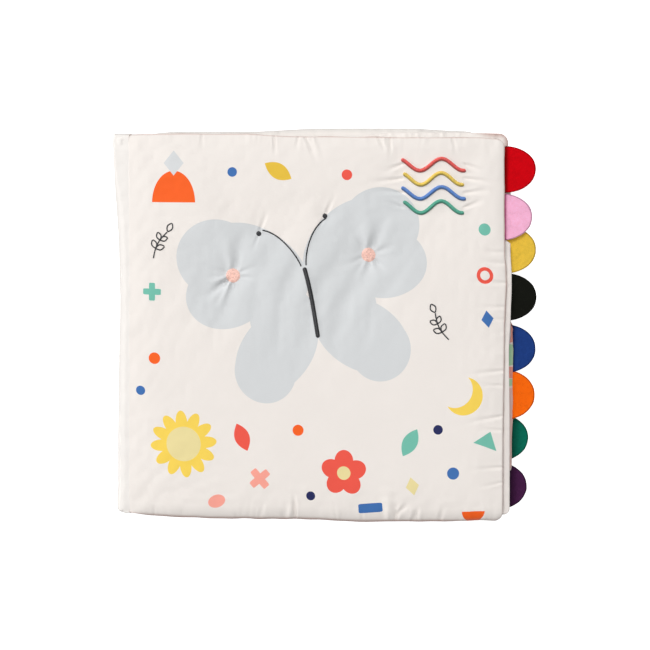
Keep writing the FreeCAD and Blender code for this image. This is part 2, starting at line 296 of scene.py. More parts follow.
def quads(grid):
    """The four-cornered faces between the neighbouring points of a grid of point numbers."""
    return np.stack([grid[:-1, :-1], grid[:-1, 1:], grid[1:, 1:], grid[1:, :-1]], -1).reshape(-1, 4)


def two_faces(rows, columns):
    """A closed shell's faces: an upper grid, and a lower one of every second line inside the same outline.
    The strip between that outline and the lower grid is triangles. Gives (inner lower points' rows and
    columns in the upper grid, upper faces, lower faces)."""
    upper = np.arange(rows * columns).reshape(rows, columns)
    lower = upper[::2, ::2].copy()
    inner_rows, inner_columns = np.arange(2, rows - 1, 2), np.arange(2, columns - 1, 2)
    lower[1:-1, 1:-1] = rows * columns + np.arange(len(inner_rows) * len(inner_columns)).reshape(
        len(inner_rows), -1)
    strips = []
    for fine, ring in ((upper[0, ::-1], lower[1, ::-1]), (upper[-1], lower[-2]),
                       (upper[:, 0], lower[:, 1]), (upper[::-1, -1], lower[::-1, -2])):
        ring = np.r_[ring[1], ring[1:-1], ring[-2]]
        a, b, c, d, e = fine[:-1:2], fine[1::2], fine[2::2], ring[:-1], ring[1:]
        strips += [np.stack(t, -1) for t in ((a, b, d), (b, e, d), (b, c, e))]
    strip = np.concatenate(strips)
    strip = strip[strip[:, 1] != strip[:, 2]]
    inside = quads(lower[1:-1, 1:-1])[:, ::-1]
    return np.ix_(inner_rows, inner_columns), quads(upper), [*inside.tolist(), *strip.tolist()]


def new_piece(name, points, faces, material, flat=None, aside=None, seam=None):
    """A mesh object from points in mm and faces. flat holds each point's place on the flat cloth, and aside
    is a number of faces and a way in mm by which the flat cloth of all later faces is moved past the prints.
    seam holds each point's share of painted shade, which the materials read."""
    mesh = bpy.data.meshes.new(name)
    faces = faces if isinstance(faces, list) else faces.tolist()
    mesh.from_pydata((np.asarray(points) * MM).tolist(), [], faces)
    if flat is not None:
        corner = np.empty(len(mesh.loops), np.int32)
        mesh.loops.foreach_get("vertex_index", corner)
        place = np.asarray(flat)[corner] * MM
        if aside is not None:
            place[4 * aside[0]:, 1] += aside[1] * MM
        mesh.uv_layers.new(name="flat_cloth").data.foreach_set("uv", place.ravel())
    if seam is not None:
        mesh.attributes.new("seam", "FLOAT", "POINT").data.foreach_set("value", np.ravel(seam))
    mesh.polygons.foreach_set("use_smooth", np.ones(len(mesh.polygons), bool))
    mesh.materials.append(material)
    piece = bpy.data.objects.new(name, mesh)
    bpy.context.scene.collection.objects.link(piece)
    return piece


def pad(name, upper_points, lower_points, flat, seam, material):
    """Joins a pad's upper and lower sheets of points into one closed shell."""
    inner, upper, lower = two_faces(*seam.shape)
    both = [np.r_[a.reshape(seam.size, -1), b[inner].reshape(inner[0].size * inner[1].size, -1)]
            for a, b in ((upper_points, lower_points), (flat, flat), (seam, seam))]
    return new_piece(name, both[0], [*upper.tolist(), *lower], material, both[1], (len(upper), 1000), both[2])


SETTLE_STEPS, SETTLE_MOST, HOLD_LEVELS = 16, 1.8, 40


def settle(points, hold, spare, seed, every=2):
    """Lets one cloth face of a pad settle by simulation: its sewn outline is held, the wadding holds the rest
    softly by the hold share, air presses it up, and cloth near stitching is longer than its seam by spare.
    One line of the grid in so many is simulated, and the moves between them are interpolated."""
    rows, columns = (np.r_[np.arange(0, n - 1, every), n - 1] for n in points.shape[:2])
    coarse = points[np.ix_(rows, columns)]
    index = np.arange(len(rows) * len(columns)).reshape(len(rows), -1)
    start = coarse.copy()
    start[1:-1, 1:-1, 2] += 0.12 * ripple(coarse[..., 0], coarse[..., 1], 9, 30, seed)[1:-1, 1:-1]
    cloth = new_piece("settling", start.reshape(-1, 3), quads(index), cream_cotton)
    for label, weights in (("held", hold), ("spare", spare)):
        made = cloth.vertex_groups.new(name=label)
        level = np.round(np.clip(weights[np.ix_(rows, columns)], 0, 1).ravel() * HOLD_LEVELS).astype(int)
        for step in np.unique(level):
            made.add(np.flatnonzero(level == step).tolist(), step / HOLD_LEVELS, "REPLACE")
    modifier = cloth.modifiers.new("cloth", "CLOTH")
    rule = modifier.settings
    rule.quality, rule.mass, rule.air_damping = 4, 0.08, 4
    rule.tension_stiffness = rule.compression_stiffness = 9
    rule.shear_stiffness, rule.bending_stiffness = 3, 0.35
    rule.vertex_group_mass, rule.pin_stiffness = "held", 0.9
    rule.vertex_group_shrink, rule.shrink_min, rule.shrink_max = "spare", 0.0, -0.035
    rule.use_pressure, rule.uniform_pressure_force = True, 0.25
    rule.effector_weights.gravity = 0
    modifier.collision_settings.use_collision = False
    for step in range(SETTLE_STEPS):
        bpy.context.scene.frame_set(step + 1)
    done = cloth.evaluated_get(bpy.context.evaluated_depsgraph_get()).data
    found = np.empty(len(done.vertices) * 3, np.float32)
    done.vertices.foreach_get("co", found)
    bpy.context.scene.frame_set(1)
    bpy.data.objects.remove(cloth)
    moved = np.clip(found.reshape(coarse.shape) / MM - coarse, -SETTLE_MOST, SETTLE_MOST)
    fine_rows, fine_columns = (np.arange(n) for n in points.shape[:2])
    lines = np.stack([[np.interp(fine_columns, columns, line[:, k]) for line in moved] for k in range(3)], -1)
    return points + np.stack([[np.interp(fine_rows, rows, line[:, k]) for line in lines.transpose(1, 0, 2)]
                              for k in range(3)], -1).transpose(1, 0, 2)


cream_cotton = cotton("cream_cotton")

SPINE_ROLL, SEWN_ROLL, PAD_STEP, PAD_CORNER = 4, 1.4, 2.7, 5
low, high = box_of("back_cover")
xs = grid_lines(low[0], high[0], SPINE_ROLL, SEWN_ROLL, PAD_STEP)
ys = grid_lines(low[1], high[1], SEWN_ROLL, SEWN_ROLL, PAD_STEP)
x, y, far = square_plan(xs, ys, PAD_CORNER)
flat = np.stack([x, y], -1)
near = np.minimum.reduce(far[1:])
rise = rolled_edges(far, (SPINE_ROLL, SEWN_ROLL, SEWN_ROLL, SEWN_ROLL))
crown = 1 - np.exp(-near / 13)
seam = 2.7 + 1.3 * np.exp(-far[0] / 10) + 0.25 * ripple(x, y, 40, 120, 3) * np.exp(-near / 10)
edge = 1.3 + 2.4 * np.exp(-far[0] / 6)
puffed = seam + edge * rise + (7.8 - seam - edge) * crown * rise
puffed = puffed + 0.2 * crown * ripple(x, y, 25, 90, 4) * rise
puffed += (gathers(x, y, far, (0.2, 0.7, 0.7, 0.7), 5) - 0.15) * rise
top = np.stack([x, y, puffed], -1)
outline = np.minimum.reduce(far) <= 0
top = settle(top, np.where(outline, 1.0, 0.08), np.exp(-near / 16), 6)
top[..., 2] = np.where(outline, seam, np.minimum(top[..., 2], 8.1))
pressed = np.maximum(seam - (edge + 2.2 * (1 - np.exp(-near / 6))) * rise, 0.02)
under = np.stack([x, y, pressed], -1)
for sheet in (top, under):
    sheet[..., 0] += 3.4 * between(y, 84, 126) * np.clip((-100 - x) / 55, 0, 1)
    sheet[..., 0] += 1.2 * np.clip((-130 - x) / 25, 0, 1)
# Painted shade: the seam values darken the cloth towards dusty pink over the outer 0.7 mm of the rolled edge.
back_cover = pad("back_cover_pad", top, under, flat, np.exp(-(near / 0.7) ** 2), cream_cotton)
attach(back_cover, "back_cover")
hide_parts("back_cover")

# ---------------------------------------------------------------------------------------------------------
# The four leaves: thinner pads of the same cotton, lifted a little past the covers' head and of uneven
# width, sewn along the gutter. Painted shade darkens their seams, dusty pink on the first and third and
# grey on the others, and pictures printed on the third reach its edge.
print_shape, given, result = group(
    "printed_shape", [("Cloth", "Color"), ("Place", "Vector"), ("Middle", "Vector"), ("Turn", "Vector"),
                      ("Size", "Vector"), ("Power x", "Float"), ("Power y", "Float"), ("From", "Float"),
                      ("Hole", "Float"), ("Ink", "Color")], [("Cloth", "Color")])
# A shape is where |x| ^ power_x + |y| ^ power_y is under 1, in its own turned and sized frame, above the
# line y = from and outside the same shape's level hole.
own = node(print_shape, "Mapping", {"vector_type": "TEXTURE"}, Vector=given["Place"],
           Location=given["Middle"], Rotation=given["Turn"], Scale=given["Size"]).outputs[0]
across, along = node(print_shape, "SeparateXYZ", Vector=own).outputs[:2]
level = sum_of(print_shape, "ADD",
               sum_of(print_shape, "POWER", sum_of(print_shape, "ABSOLUTE", across), given["Power x"]),
               sum_of(print_shape, "POWER", sum_of(print_shape, "ABSOLUTE", along), given["Power y"]))
sharp = sum_of(print_shape, "MULTIPLY", 4000, sum_of(
    print_shape, "MINIMUM", *node(print_shape, "SeparateXYZ", Vector=given["Size"]).outputs[:2]))
masks = [sum_of(print_shape, "MULTIPLY", sum_of(print_shape, "SUBTRACT", *pair), sharp)
         for pair in ((1.0, level), (along, given["From"]), (level, given["Hole"]))]
inside = sum_of(print_shape, "MINIMUM", sum_of(print_shape, "MINIMUM", masks[0], masks[1]), masks[2])
inside = node(print_shape, "Clamp", Value=inside).outputs[0]
print_shape.links.new(
    node(print_shape, "Mix", {"data_type": "RGBA"}, _0=inside, _6=given["Cloth"], _7=given["Ink"]).outputs[2],
    result["Cloth"])


def printed(tree, place, cloth, prints):
    """Prints shapes on the cloth's colour, each on top of those before it, and gives the new colour. A shape
    is (kind, x, y, turn, half width, half height, ink), in mm and degrees."""
    for kind, x, y, turn, width, height, ink in prints:
        power_x, power_y, bottom, hole = kind
        cloth = use(tree, print_shape, Cloth=cloth, Place=place, Middle=(x * MM, y * MM, 0),
                    Turn=(0, 0, math.radians(turn)), Size=(width * MM, height * MM, 1), Power_x=power_x,
                    Power_y=power_y, From=bottom, Hole=hole, Ink=ink)[0]
    return cloth


OVAL, DIAMOND, LEAF, BLOCK = (2, 2, -9, -1), (1, 1, -9, -1), (1, 2, -9, -1), (9, 9, -9, -1)
HALF, RING, TENT = (2, 2, 0, -1), (2, 2, -9, 0.3), (1, 1, 0, -1)
CORAL, SALMON, ORANGE = dye(241, 88, 72), dye(252, 166, 150), dye(250, 98, 26)
YELLOW, MUSTARD, STRAW = dye(250, 214, 88), dye(232, 192, 62), dye(238, 222, 160)
MINT, LEAF_GREEN, BLUE = dye(116, 192, 172), dye(168, 220, 174), dye(62, 112, 178)
NAVY, GREY_BLUE, PALE_GREY = dye(32, 38, 90), dye(215, 217, 218), dye(216, 218, 219)
BLUSH, PALE_CORAL = dye(238, 202, 194), dye(243, 158, 142)


# The pictures that run off the third leaf's fore-edge: fields of pale coral, green and blush.
PAGE_PICTURES = [(BLOCK, 132, 14, 0, 30, 28, PALE_CORAL), (OVAL, 140, -23.5, 0, 30, 10, LEAF_GREEN),
                 (BLOCK, 140, -37.5, 0, 30, 4.6, PALE_CORAL), (OVAL, 144, -45.5, 0, 22, 3.4, LEAF_GREEN),
                 (BLOCK, 140, -82, 0, 24, 32, BLUSH)]
leaf_cotton = cotton("leaf_cotton", seam=0.6, shade=PAINTED_SHADE_GREY, cloth=PALE_CREAM)
pink_shade_cotton = cotton("pink_shade_leaf_cotton", seam=0.95, cloth=PALE_CREAM)
picture_cotton = cotton("picture_leaf_cotton", PAGE_PICTURES)
LEAF_SEWN = {0: pink_shade_cotton, 2: picture_cotton}
LEAF_STEP, LEAF_ROLL, GUTTER_ROLL = 6.5, 1.2, 2.5
LEAF_TAIL, LEAF_HEAD, LEAF_FORE = -145, 150, 150
low, high = box_of("pages")


def leaf_edges(number, x, y):
    """Where each leaf's fore-edge, head and tail run, as soft hand-sewn work has them."""
    tail = -145.3 - 4.3 * between(x, 104, 138)
    if number == 0:
        return (153.1 - 0.75 * between(y, -80, -20) + 1.4 * between(y, -20, 12) + 0.7 * between(y, 12, 30)
                - 0.5 * between(y, 40, 60) - 5.6 * between(y, 65.4, 67.6) + 3.7 * between(y, 139.0, 140.5),
                149.2 + 3.7 * between(x, 25, 62) - 0.9 * between(x, 110, 148), tail)
    if number == 1:
        return (152.6 + 2.4 * between(y, -22, -4) - 4 * between(y, 128, 148),
                150.8 + 3.4 * between(x, -150, -112) + 2.7 * between(x, -62, 8) - 2.2 * between(x, 70, 120)
                - 4.8 * between(x, 116, 140), tail)
    if number == 2:
        return (152.0 + 4.6 * between(y, -116, -110) + 1.4 * between(y, -90, -60) - 2.8 * between(y, 1, 8)
                - 4 * between(y, 128, 148),
                149.5 + 2.5 * between(x, -150, -100) - 3 * between(x, 100, 140), tail)
    return 153.6 - 4 * between(y, 128, 148), 151 + 1.5 * np.sin(x / 90) - 2 * between(x, 90, 130), tail


for number in range(4):
    z = low[2] + (3 - number) * LEAF_STEP
    step, every = (1.35, 4) if number == 0 else (2.7, 2)
    xs = grid_lines(low[0], LEAF_FORE, GUTTER_ROLL, LEAF_ROLL, step)
    ys = grid_lines(LEAF_TAIL, LEAF_HEAD, LEAF_ROLL, LEAF_ROLL, step)
    x, y, far = square_plan(xs, ys, np.where(ys > 0, 7.4 if number == 0 else 6, 5)[:, None])
    fore, head, tail = leaf_edges(number, x, y)
    x = low[0] + (x - low[0]) * (fore - low[0]) / (LEAF_FORE - low[0])
    y = tail + (y - LEAF_TAIL) * (head - tail) / (LEAF_HEAD - LEAF_TAIL)
    flat = np.stack([x, y], -1)
    near = np.minimum.reduce(far[1:])
    rise = rolled_edges(far, (GUTTER_ROLL, LEAF_ROLL, LEAF_ROLL, LEAF_ROLL))
    crown = 1 - np.exp(-near / 12)
    lifted = 1.0 * between(y, 120, 150)
    if number == 0:
        lifted = lifted + 4.2 * between(x, 122, 150) * (1 - between(y, 34, 62)) * (
            1 - 0.45 * between(-y, 40, 100))
    seam = z + 3.0 + lifted + 0.3 * ripple(x, y, 40, 120, 10 + number) * np.exp(-near / 10)
    edge = 1.15 + 1.7 * np.exp(-far[0] / 8)
    tucks = (gathers(x, y, far, (0.1, 0.5, 0.5, 0.5), 20 + number) - 0.1) * rise
    tucks += 1.0 * rise * np.exp(-far[3] / 5) * (np.abs(ripple(x, 0 * y, 4, 10, 50 + number)) - 0.5)
    soft = 0.18 * crown * ripple(x, y, 25, 80, 30 + number) * rise
    upper = np.stack([x, y, seam + (edge + (z + 5.8 - seam - edge) * crown) * rise + tucks + soft], -1)
    lower = np.stack([x, y, seam - (edge + (seam - edge - z - 0.2) * crown) * rise - tucks - soft], -1)
    outline = np.minimum.reduce(far) <= 0
    moved = settle(upper, np.where(outline, 1.0, 0.08), np.exp(-near / 14), 35 + number,
                   every=every) - upper
    upper, lower = upper + moved, lower + moved * (1, 1, -1)
    upper[..., 2] = np.where(outline, seam, np.minimum(upper[..., 2], np.maximum(z + 6.1, seam + 1.3)))
    lower[..., 2] = np.where(outline, seam, np.maximum(lower[..., 2], z - 0.1))
    # Painted shade near the seams: on the first leaf wide and strong at the head end of its fore-edge and
    # faint over a band along the fore-edge, on the others strong in the seams and faint over a band along the
    # head.
    if number == 0:
        corner = between(x + y / 2, 196, 216)
        painted_leaf_shade = np.exp(-(near / (1.1 + 2.2 * corner)) ** 2) * (0.16 + 0.84 * corner)
        painted_leaf_shade = np.maximum(painted_leaf_shade, 0.08 * np.exp(-(far[1] / 6) ** 4))
    else:
        painted_leaf_shade = np.maximum(0.9 * np.exp(-(near / 1.7) ** 2), 0.1 * np.exp(-(far[3] / 9) ** 4))
    leaf = pad(f"leaf_{number + 1}", upper, lower, flat, painted_leaf_shade, LEAF_SEWN.get(number, leaf_cotton))
    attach(leaf, "page_block")
    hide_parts("pages")

# ---------------------------------------------------------------------------------------------------------
# The index tabs: eight half ovals cut from thin wool felt, two to a leaf, each caught by its straight side in
# the leaf's fore-edge seam. Painted shade darkens a line just inside the cut edge and the felt where it goes
# into the seam, and the felt is fuzzy.
felt_fibres, given, result = group("felt_fibres", [("Place", "Vector")],
                                   [("Height", "Float"), ("Tone", "Float")])
tangle = node(felt_fibres, "TexNoise", Vector=given["Place"], Scale=900, Detail=4, Distortion=1.5)
tufts = node(felt_fibres, "TexNoise", Vector=given["Place"], Scale=210, Detail=3, Distortion=0.6)
felt_fibres.links.new(sum_of(felt_fibres, "ADD", tangle.outputs["Fac"], tufts.outputs["Fac"]),
                      result["Height"])
felt_fibres.links.new(
    sum_of(felt_fibres, "MULTIPLY_ADD", tangle.outputs["Fac"], 0.46,
           sum_of(felt_fibres, "MULTIPLY_ADD", tufts.outputs["Fac"], 0.36, 0.61)), result["Tone"])


def felt(name, colour, depth, sheen):
    """Dyed wool felt: fibre tangle in the height and tone, a painted shade line, 1 - 28 |out - 0.98|, just
    inside the cut edge, and painted shade, a darker copy of the dye, where the felt goes into the seam."""
    material, tree, shader = new_material(name)
    fibres = use(tree, felt_fibres, Place=node(tree, "TexCoord").outputs["Object"])
    # Painted shade: a thin darker line just inside the cut edge.
    off = sum_of(tree, "ABSOLUTE", sum_of(tree, "SUBTRACT", painted(tree, "out"), 0.98))
    rim = sum_of(tree, "MAXIMUM", sum_of(tree, "MULTIPLY_ADD", off, -28, 1), 0)
    tone = sum_of(tree, "MULTIPLY", fibres["Tone"], sum_of(tree, "MULTIPLY_ADD", rim, -0.6, 1))
    painted_tuck_shade = sum_of(tree, "MULTIPLY", painted(tree, "painted_tuck_shade"), depth)
    painted_deep_shade = (*[0.5 * c ** 2.5 for c in colour[:3]], 1)
    dyed = node(tree, "Mix", {"data_type": "RGBA"}, _0=painted_tuck_shade, _6=colour, _7=painted_deep_shade).outputs[2]
    surface(tree, shader, dyed, tone, fibres["Height"], 0.55, 0.0004, Roughness=0.95, Specular_IOR_Level=0.1,
            Sheen_Weight=sheen)
    return material


FELTS = {"red": (dye(211, 0, 15), 0.02), "pink": (dye(255, 187, 220), 0.2),
         "yellow": (dye(238, 197, 69), 0.08), "black": (dye(20, 21, 16), 0.01),
         "blue": (dye(31, 62, 130), 0.04), "orange": (dye(254, 107, 10), 0.06),
         "green": (dye(7, 115, 93), 0.04), "purple": (dye(71, 30, 71), 0.04)}
TAB_TAIL, FELT_THICKNESS, CUT_ROUND = 8.0, 1.9, 0.5
# How each hand-cut tab differs, in mm: how far up the page it sits, half its width, its depth, and how far
# its lower and its upper half bend; then where its painted shade at the seam ends, over what width, how deep.
HAND_CUT = {"red": (0.9, 0.1, 0, 0, 0, 150.3, 1.7, 0.8), "pink": (0.8, 0.2, 0.8, -2.2, 0, 149.5, 1.1, 1.0),
            "yellow": (0, 0.5, 0.3, 0, 2.2, 150, 1, 0), "black": (0, 0.6, 0.4, 0, 0, 150, 1, 0),
            "blue": (-0.6, 1.1, 0, 0, 0, 157.4, 1.3, 0.7), "orange": (0, 1.6, -0.2, 0, 0, 157, 1.2, 0),
            "green": (-1.9, 1.1, 1.5, 0, 0, 155, 9, 0.6), "purple": (-3.3, 0.9, 0.8, 0, 0, 155, 6, 0.45)}
for number, (colour, (ink, sheen)) in enumerate(FELTS.items()):
    low, high = box_of(f"tab_{colour}")
    shift, wider, deeper, lower_bend, upper_bend, emerge, fade, shade = HAND_CUT[colour]
    half_width, depth = (high[1] - low[1]) / 2 + wider, high[0] - low[0] - TAB_TAIL + deeper
    angle, out = np.meshgrid(np.linspace(-math.pi / 2, math.pi / 2, 73), np.linspace(0, 1, 45) ** 0.8)
    wobble = 0.1 * ripple(angle * 18, out * 0, 2.2, 9, 40 + number) * np.cos(angle)
    rim = TAB_TAIL + (depth + wobble) * np.cos(angle)
    x = low[0] + out * rim
    y = (low[1] + high[1]) / 2 + shift + (half_width - 0.1 + 0.4 * wobble) * np.sign(angle) * np.abs(
        np.sin(angle)) ** 0.94
    outward = np.clip((x - low[0] - TAB_TAIL) / depth, 0, 1)
    side = np.sin(angle)
    droop = 0.4 * np.sin(1.7 * number + 0.6) * outward ** 2 + 0.25 * np.sin(number * 2.3) * outward * side
    droop += (lower_bend * (1 - side) / 2 + upper_bend * (1 + side) / 2) * (1 - np.exp(-5 * outward))
    z = (low[2] + high[2]) / 2 + droop + 0.1 * outward * ripple(x, y, 7, 20, 60 + number)
    faces = np.roll(quads(np.arange(x.size).reshape(x.shape)), -1, axis=1)
    tab = new_piece(f"felt_tab_{colour}", np.stack([x, y, z], -1).reshape(-1, 3), faces,
                    felt(f"felt_{colour}", ink, shade, sheen))
    out = np.hypot(outward, side) * (outward > 0)
    # Painted shade where the felt goes into the seam: full up to emerge, fading out over fade beyond it.
    painted_tuck_shade = np.exp(-(np.maximum(x - emerge, 0) / fade) ** 2)
    for label, values in (("out", out), ("painted_tuck_shade", painted_tuck_shade)):
        tab.data.attributes.new(label, "FLOAT", "POINT").data.foreach_set("value", values.ravel())
    thick = tab.modifiers.new("felt_thickness", "SOLIDIFY")
    thick.thickness, thick.offset = FELT_THICKNESS * MM, 0
    rounded = tab.modifiers.new("soft_edge", "BEVEL")
    rounded.width, rounded.segments, rounded.limit_method = CUT_ROUND * MM, 3, "ANGLE"
    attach(tab, "page_block")
    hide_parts(f"tab_{colour}")

# ---------------------------------------------------------------------------------------------------------
# The spine: a padded strip of a paler cotton standing at the leaves' gutter. It is soft, so it leans out at
# the head and is drawn in at the middle.
hinge_cotton = cotton("hinge_cotton", seam=0.6, shade=PAINTED_SHADE_GREY, cloth=PALE_CREAM)
SPINE_EDGE = 3
low, high = box_of("spine")


def spine_side(y):
    """Where the spine's outer side stands at the top of the book, for each place along its height."""
    return (-156.6 - 3.8 * between(y, 58, 135) - 0.8 * between(y, 128, 148)
            + 1.3 * np.exp(-((y - 16) / 40) ** 2) - 0.4 * between(-y, 50, 90) - 0.8 * between(-y, 124, 138))


ys = grid_lines(low[1] + 2.6, high[1] - 0.5, SPINE_EDGE, SPINE_EDGE, 3.0)
zs = grid_lines(low[2] - 2.2, high[2] - 4.4, SPINE_EDGE, SPINE_EDGE, 1.5)
y, z, far = square_plan(ys, zs, SPINE_EDGE)
flat = np.stack([y + 2000, z], -1)
rise = rolled_edges(far, (SPINE_EDGE, SPINE_EDGE, SPINE_EDGE, SPINE_EDGE))
near = np.minimum.reduce(far)
tucks = (gathers(y, z, far, (0.35, 0.35, 0.4, 0.3), 71) - 0.1) * rise
soft = 0.3 * rise * (1 - np.exp(-near / 6)) * ripple(y, z, 16, 50, 70)
leaned = between(z, 23, 35)
outer = (1 - leaned) * (low[0] + 0.15) + leaned * (spine_side(y) + 0.35) + 1.0 * between(z, 30.5, 33.5)
inner = high[0] - 0.1 - 0.5 * leaned * between(y, 100, 145)
middle = (outer + inner) / 2
spine = pad("spine_pad", np.stack([middle + (inner - middle) * rise, y, z], -1),
            np.stack([middle - (middle - outer) * rise + tucks + soft.clip(-0.3, 0.15), y, z], -1), flat,
            0 * y, hinge_cotton)
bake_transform(spine)
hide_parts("spine")

# ---------------------------------------------------------------------------------------------------------
# The front cover: the same padded square as the back one, printed with a pale butterfly, a daisy and
# scattered shapes, and stitched through in places, where the wadding is drawn down and the cloth puckers.
BUTTERFLY_X, BUTTERFLY_Y, BUTTERFLY_TILT = -4.0, 18.0, 12.0


def on_butterfly(x, y):
    """A place given from the butterfly's own middle and upright, on the cover."""
    a = math.radians(BUTTERFLY_TILT)
    return BUTTERFLY_X + x * math.cos(a) - y * math.sin(a), BUTTERFLY_Y + x * math.sin(a) + y * math.cos(a)


COVER_PRINTS = [(OVAL, *on_butterfly(x * side, y), turn * side + BUTTERFLY_TILT, width, height, GREY_BLUE)
                for side in (1, -1) for x, y, turn, width, height in (
                    (40, 36, 38, 46, 33), (66, 50, 20, 31, 30), (62, 22, -10, 34, 28), (34, -30, -40, 40, 27),
                    (46, -44, -10, 24, 25), (24, -6, 0, 26, 26))]
DAISY_X, DAISY_Y, BLOOM_X, BLOOM_Y, PETAL = -104, -92, 22, -112, 8.6
COVER_PRINTS += [(OVAL, DAISY_X + 17 * math.cos(a), DAISY_Y + 17 * math.sin(a), math.degrees(a), 9.2, 4.6,
                  YELLOW) for a in np.arange(12) * math.pi / 6 + 0.1]
COVER_PRINTS += [(OVAL, DAISY_X, DAISY_Y, 0, 13.5, 13.5, STRAW)]
COVER_PRINTS += [(OVAL, BLOOM_X + 9.5 * math.cos(a), BLOOM_Y + 9.5 * math.sin(a), math.degrees(a), PETAL,
                  PETAL * 0.86, CORAL) for a in np.arange(5) * 2 * math.pi / 5 + 0.3]
COVER_PRINTS += [
    (OVAL, BLOOM_X, BLOOM_Y, 0, PETAL * 0.62, PETAL * 0.62, STRAW),
    (OVAL, 116, -52, 0, 15, 15, YELLOW), (OVAL, 109, -47, 0, 14, 14, CREAM),
    (HALF, -112, 96, 0, 17, 25, ORANGE), (DIAMOND, -112, 127, 0, 8, 10, PALE_GREY),
    (LEAF, -58, -86, 22, 6, 11.5, CORAL), (LEAF, 74, -88, -28, 6, 12, MINT),
    (LEAF, -30, 122, 62, 6.4, 12, MUSTARD), (RING, 131, 42, 0, 6.6, 6.6, CORAL),
    (BLOCK, -129, 26, 0, 7, 2.4, MINT), (BLOCK, -129, 26, 90, 7, 2.4, MINT),
    (BLOCK, 43, -139, 4, 9.5, 3.7, BLUE), (DIAMOND, 76, -122, 12, 5.4, 7.4, STRAW),
    (BLOCK, -44, -118, 40, 8.6, 2.9, SALMON), (BLOCK, -44, -118, 130, 8.6, 2.9, SALMON),
    (OVAL, -127, -26, 0, 4.6, 4.6, ORANGE), (OVAL, -138, -52, 0, 3.7, 3.7, BLUE),
    (OVAL, 96, -78, 0, 3.8, 3.8, NAVY), (OVAL, -14, -80, 0, 4.4, 4.4, ORANGE),
    (OVAL, 108, -112, 0, 4.8, 4.8, BLUE), (OVAL, 132, 78, 0, 4.8, 4.8, MINT),
    (OVAL, -66, 120, 0, 3.8, 3.8, BLUE), (OVAL, 24, 120, 0, 4.2, 4.2, CORAL),
    (OVAL, -78, -136, 20, 7, 5, SALMON), (TENT, 133, -92, -20, 10, 13, MINT),
    (HALF, 124, -142, 180, 9, 9, ORANGE), (DIAMOND, 134, 8, 10, 5, 7, BLUE),
    (OVAL, -4, -131, 0, 3.6, 3.6, NAVY)]
printed_cotton = cotton("printed_cotton", COVER_PRINTS, seam=0.9)
DISCS = [(*on_butterfly(-56, 34), 5.8), (*on_butterfly(52, 30), 5.8)]
DOTS = [(*on_butterfly(-29, 62), 2.1), (*on_butterfly(25, 66), 2.1)]
WAVES_X, WAVES_Y, WAVE_LENGTH, WAVE_GAP = 92.0, 112.0, 51.0, 11.0
low, high = box_of("front_cover")
cover_xs = grid_lines(low[0] - 0.5, high[0], 0.9, 1.5, 1.06)
cover_ys = grid_lines(low[1], high[1], 9, 1.5, 1.1)
x, y, far = square_plan(cover_xs, cover_ys, np.where(cover_xs > 0, 7.0, 2.5))
flat = np.stack([x, y], -1)
near = np.minimum.reduce(far[1:])
tail_share = between(x, -149, -126)
rise = rolled_edges(far, (0.9, 1.5 + 5 * between(y, 20, 90), 1.5 + 9.5 * tail_share, 1.5))
crown = 1 - np.exp(-near / 13)
at_tail = tail_share * between(-y, 0, 110)
SEAM_Z, CROWN_Z = high[2] - 3.1, high[2] - 0.9
seam = (SEAM_Z - 3.5 * at_tail - 1.6 * np.exp(-far[0] / 12)
        + 0.2 * ripple(x, y, 30, 90, 81) * np.exp(-near / 8))
edge = 1.2 + 3.5 * at_tail + 0.3 * between(y, 20, 90) * np.exp(-far[1] / 9)
share_x, share_y = (x - cover_xs[0]) / (cover_xs[-1] - cover_xs[0]), (y - low[1]) / (high[1] - low[1])
head_y = 150.9 - 2.0 * between(x, -60, -15) - 0.8 * between(x, 0, 70) - 1.2 * between(x, 125, 147)
tail_y = -147.4 - 5.2 * (1 - np.exp(-(x + 147) / 28)) - 2.0 * between(x, -20, 35) + 0.9 * between(x, 108, 136)
fore_x = 148.4 + 1.5 * np.exp(-((y - 36) / 22) ** 2) - 0.9 * between(-y, 0, 110)
plan_x = cover_xs[0] + share_x * (fore_x - cover_xs[0])
plan_y = tail_y + share_y * (head_y - tail_y) + 0.3 * (1 - rise) * ripple(x, y, 12, 40, 80)
plan_x = plan_x + 0.25 * (1 - rise) * np.exp(-far[1] / 2) * ripple(x, y, 12, 40, 82)
from_stitch = [np.hypot(x - px, y - py) for px, py, _ in DISCS + DOTS]
drawn_down = sum(1.7 * np.exp(-(np.maximum(d - 4, 0) / 9) ** 2) for d in from_stitch[:2])
drawn_down += sum(0.8 * np.exp(-(d / 6) ** 2) for d in from_stitch[2:])
beside_waves = np.hypot(np.maximum(np.abs(x - WAVES_X) - WAVE_LENGTH / 2, 0),
                        np.maximum(np.abs(y - WAVES_Y) - 1.7 * WAVE_GAP, 0))
drawn_down += 0.9 * np.exp(-(beside_waves / 8) ** 2)
about = np.exp(-((x + 8) / 80) ** 2 - ((y - 26) / 55) ** 2)
billows = about * (1.0 * ripple(x, y * 0.6, 34, 75, 93) - 0.8 + 0.5 * np.sin(
    (x * 0.93 - y * 0.36 + 4 * np.sin(y / 17 + x / 40)) * 2 * np.pi / 23))
height = seam + (edge + (CROWN_Z - seam - edge) * crown) * rise
height += crown * (billows - drawn_down + 0.3 * ripple(x, y, 45, 120, 91)) - 2.2 * np.exp(-far[0] / 18) * rise
top = np.stack([plan_x, plan_y, height], -1)
outline = np.minimum.reduce(far) <= 0
stitched = np.minimum.reduce([d / 9 for d in from_stitch] + [(beside_waves + 3) / 9])
hold = np.where(outline, 1.0, 0.06 + 0.75 * np.exp(-stitched ** 2))
spare = np.clip(0.8 * np.exp(-near / 16) + 0.8 * np.exp(-(stitched / 2) ** 2), 0, 1)
top = settle(top, hold, spare, 90, every=4)
